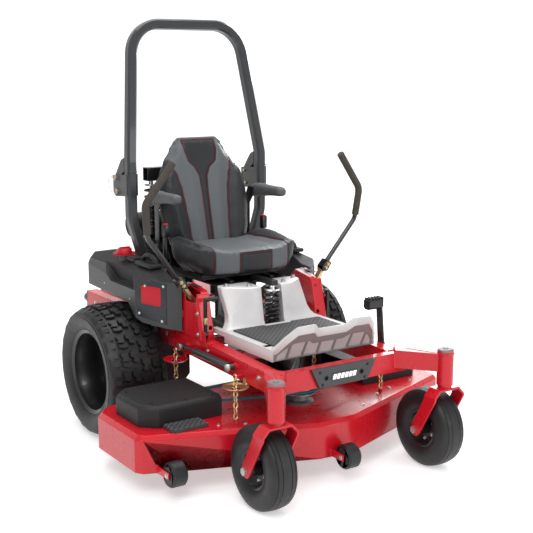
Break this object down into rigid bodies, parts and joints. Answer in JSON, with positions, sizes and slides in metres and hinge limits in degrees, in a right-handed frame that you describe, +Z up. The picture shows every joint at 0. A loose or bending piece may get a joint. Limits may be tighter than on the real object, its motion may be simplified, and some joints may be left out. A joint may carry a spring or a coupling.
{
  "type": "zero turn mower",
  "caption": "Ride-on zero turn mower with mid deck, suspended seat platform, twin control levers, folding roll bar, front casters and rear engine.",
  "frame": {"origin": "on the ground, under the middle of the bounding box", "axes": "+Z up, -Y the front of the machine, +X the operator's left"},
  "size_m": [1.55, 2.066, 1.8631],
  "materials": {
    "red_paint": "gloss red enamel",
    "black_paint": "satin black enamel",
    "dark_grey_paint": "satin dark grey enamel",
    "silver_cover": "brushed pale silver",
    "zinc": "zinc plated",
    "yellow_zinc": "yellow zinc plated",
    "steel": "plain steel",
    "engine_metal": "cast",
    "black_plastic": "grained moulding",
    "grey_plastic": "grained moulding",
    "light_plastic": "smooth moulding",
    "red_plastic": "gloss moulding",
    "lens": "clear lens",
    "tyre_rubber": "matt",
    "rubber": "matt ribbed",
    "foam": "foam",
    "belt": "wrapped belt",
    "vinyl": "two-tone vinyl"
  },
  "bodies": {
    "chassis": {"main_frame": "red_paint", "lamp_panel": "dark_grey_paint", "lamp_lens": "lens", "control_towers": "red_paint", "fenders": "grey_plastic", "lift_strut": "dark_grey_paint", "lift_chains": "zinc", "roll_bar_posts": "black_paint", "roll_bar_pins": "yellow_zinc", "shock_bodies": "black_paint", "engine_block": "engine_metal", "engine_shroud": "black_plastic", "engine_guard": "black_paint", "hydro_drives": "dark_grey_paint"},
    "roll_bar": {"roll_bar_hoop": "dark_grey_paint"},
    "drive_wheel_left": {"drive_tyre_left": "tyre_rubber", "drive_rim_left": "black_paint"},
    "drive_wheel_right": {"drive_tyre_right": "tyre_rubber", "drive_rim_right": "black_paint"},
    "fork_left": {"caster_fork_left": "red_paint", "caster_axle_left": "zinc"},
    "fork_right": {"caster_fork_right": "red_paint", "caster_axle_right": "zinc"},
    "caster_wheel_left": {"caster_tyre_left": "tyre_rubber", "caster_rim_left": "black_paint"},
    "caster_wheel_right": {"caster_tyre_right": "tyre_rubber", "caster_rim_right": "black_paint"},
    "platform": {"foot_platform": "silver_cover", "knee_cover": "silver_cover", "floor_mats": "rubber", "suspension_frame": "black_paint", "shock_rods": "zinc", "shock_springs": "black_paint"},
    "seat": {"seat_cushion": "vinyl", "seat_back": "vinyl", "seat_base": "black_paint"},
    "armrest_left_body": {"armrest_left": "light_plastic"},
    "armrest_right_body": {"armrest_right": "light_plastic"},
    "stub_left": {"lever_stub_left": "yellow_zinc"},
    "stub_right": {"lever_stub_right": "yellow_zinc"},
    "lever_left": {"drive_lever_left": "black_paint", "lever_grip_left": "foam"},
    "lever_right": {"drive_lever_right": "black_paint", "lever_grip_right": "foam"},
    "brake": {"brake_lever": "black_paint"},
    "lock": {"lock_lever": "red_paint"},
    "pedal": {"lift_pedal": "black_paint"},
    "cap": {"fuel_cap": "red_plastic"},
    "deck": {"deck_shell": "red_paint", "belt_covers": "black_plastic", "step_pad": "rubber", "spindle_housings": "black_paint", "deck_belt": "belt"},
    "blade_left": {"spindle_left": "steel"},
    "blade_centre": {"spindle_centre": "steel"},
    "blade_right": {"spindle_right": "steel"},
    "clutch": {"crank_clutch": "black_paint"},
    "roller_left_body": {"roller_left": "rubber"},
    "roller_middle_body": {"roller_middle": "rubber"},
    "roller_right_body": {"roller_right": "rubber"}
  },
  "joints": [
    {"name": "drive_wheel_left_spin", "type": "hinge", "parent": "chassis", "child": "drive_wheel_left", "pos_m": [0.5055, 0.234, 0.3], "axis": [1, 0, 0], "continuous": true},
    {"name": "caster_left_swivel", "type": "hinge", "parent": "chassis", "child": "fork_left", "pos_m": [0.417, -0.952, 0.44], "axis": [0, 0, 1], "continuous": true},
    {"name": "caster_left_spin", "type": "hinge", "parent": "fork_left", "child": "caster_wheel_left", "pos_m": [0.417, -0.868, 0.165], "axis": [1, 0, 0], "continuous": true},
    {"name": "armrest_left_fold", "type": "hinge", "parent": "seat", "child": "armrest_left_body", "pos_m": [0.278, 0.242, 1.062], "axis": [-1, 0, 0], "range_deg": [0, 80]},
    {"name": "lever_left_drive", "type": "hinge", "parent": "chassis", "child": "stub_left", "pos_m": [0.306, -0.175, 0.65], "axis": [1, 0, 0], "range_deg": [-8, 14], "stiffness_Nm_per_rad": 45},
    {"name": "lever_left_swing", "type": "hinge", "parent": "stub_left", "child": "lever_left", "pos_m": [0.367, -0.175, 0.732], "axis": [0, -1, 0], "range_deg": [0, 25]},
    {"name": "drive_wheel_right_spin", "type": "hinge", "parent": "chassis", "child": "drive_wheel_right", "pos_m": [-0.5055, 0.234, 0.3], "axis": [1, 0, 0], "continuous": true},
    {"name": "caster_right_swivel", "type": "hinge", "parent": "chassis", "child": "fork_right", "pos_m": [-0.417, -0.952, 0.44], "axis": [0, 0, 1], "continuous": true},
    {"name": "caster_right_spin", "type": "hinge", "parent": "fork_right", "child": "caster_wheel_right", "pos_m": [-0.417, -0.868, 0.165], "axis": [1, 0, 0], "continuous": true},
    {"name": "armrest_right_fold", "type": "hinge", "parent": "seat", "child": "armrest_right_body", "pos_m": [-0.278, 0.242, 1.062], "axis": [-1, 0, 0], "range_deg": [0, 80]},
    {"name": "lever_right_drive", "type": "hinge", "parent": "chassis", "child": "stub_right", "pos_m": [-0.306, -0.175, 0.65], "axis": [1, 0, 0], "range_deg": [-8, 14], "stiffness_Nm_per_rad": 45},
    {"name": "lever_right_swing", "type": "hinge", "parent": "stub_right", "child": "lever_right", "pos_m": [-0.367, -0.175, 0.732], "axis": [0, 1, 0], "range_deg": [0, 25]},
    {"name": "roll_bar_fold", "type": "hinge", "parent": "chassis", "child": "roll_bar", "pos_m": [0, 0.404, 1.081], "axis": [-1, 0, 0], "range_deg": [0, 100]},
    {"name": "platform_ride", "type": "slide", "parent": "chassis", "child": "platform", "axis": [0, 0, 1], "range_m": [-0.045, 0], "stiffness_N_per_m": 24000, "springref_m": 0.08, "deforming": ["shock_springs"]},
    {"name": "seat_slide", "type": "slide", "parent": "platform", "child": "seat", "axis": [0, 1, 0], "range_m": [-0.06, 0]},
    {"name": "deck_lift", "type": "slide", "parent": "chassis", "child": "deck", "axis": [0, 0, 1], "range_m": [-0.06, 0], "deforming": ["lift_chains"]},
    {"name": "pedal_push", "type": "hinge", "parent": "chassis", "child": "pedal", "pos_m": [0.343, -0.636, 0.478], "axis": [1, 0, 0], "range_deg": [-38, 2]},
    {"name": "clutch_spin", "type": "hinge", "parent": "chassis", "child": "clutch", "pos_m": [0, 0.64, 0.36], "axis": [0, 0, 1], "continuous": true},
    {"name": "blade_left_spin", "type": "hinge", "parent": "deck", "child": "blade_left", "pos_m": [0.5, -0.356, 0.27], "axis": [0, 0, 1], "continuous": true},
    {"name": "blade_centre_spin", "type": "hinge", "parent": "deck", "child": "blade_centre", "pos_m": [0, -0.511, 0.27], "axis": [0, 0, 1], "continuous": true},
    {"name": "blade_right_spin", "type": "hinge", "parent": "deck", "child": "blade_right", "pos_m": [-0.5, -0.356, 0.27], "axis": [0, 0, 1], "continuous": true},
    {"name": "roller_left_spin", "type": "hinge", "parent": "deck", "child": "roller_left_body", "pos_m": [0.668, -0.638, 0.116], "axis": [1, 0, 0], "continuous": true},
    {"name": "roller_middle_spin", "type": "hinge", "parent": "deck", "child": "roller_middle_body", "pos_m": [0, -0.854, 0.116], "axis": [1, 0, 0], "continuous": true},
    {"name": "roller_right_spin", "type": "hinge", "parent": "deck", "child": "roller_right_body", "pos_m": [-0.668, -0.638, 0.116], "axis": [1, 0, 0], "continuous": true},
    {"name": "brake_pull", "type": "hinge", "parent": "chassis", "child": "brake", "pos_m": [-0.326, -0.292, 0.54], "axis": [1, 0, 0], "range_deg": [0, 32]},
    {"name": "lock_turn", "type": "hinge", "parent": "chassis", "child": "lock", "pos_m": [0.352, -0.232, 0.454], "axis": [1, 0, 0], "range_deg": [0, 40]},
    {"name": "fuel_cap_turn", "type": "hinge", "parent": "chassis", "child": "cap", "pos_m": [-0.38, 0.345, 0.81], "axis": [0, 0, 1], "range_deg": [0, 90]}
  ],
  "couplings": [
    {"joint": "pedal_push", "follows": "deck_lift", "rad_per_m": 10.472},
    {"joint": "blade_left_spin", "follows": "clutch_spin", "ratio": 1.1429},
    {"joint": "blade_centre_spin", "follows": "clutch_spin", "ratio": 1.1429},
    {"joint": "blade_right_spin", "follows": "clutch_spin", "ratio": 1.1429}
  ]
}
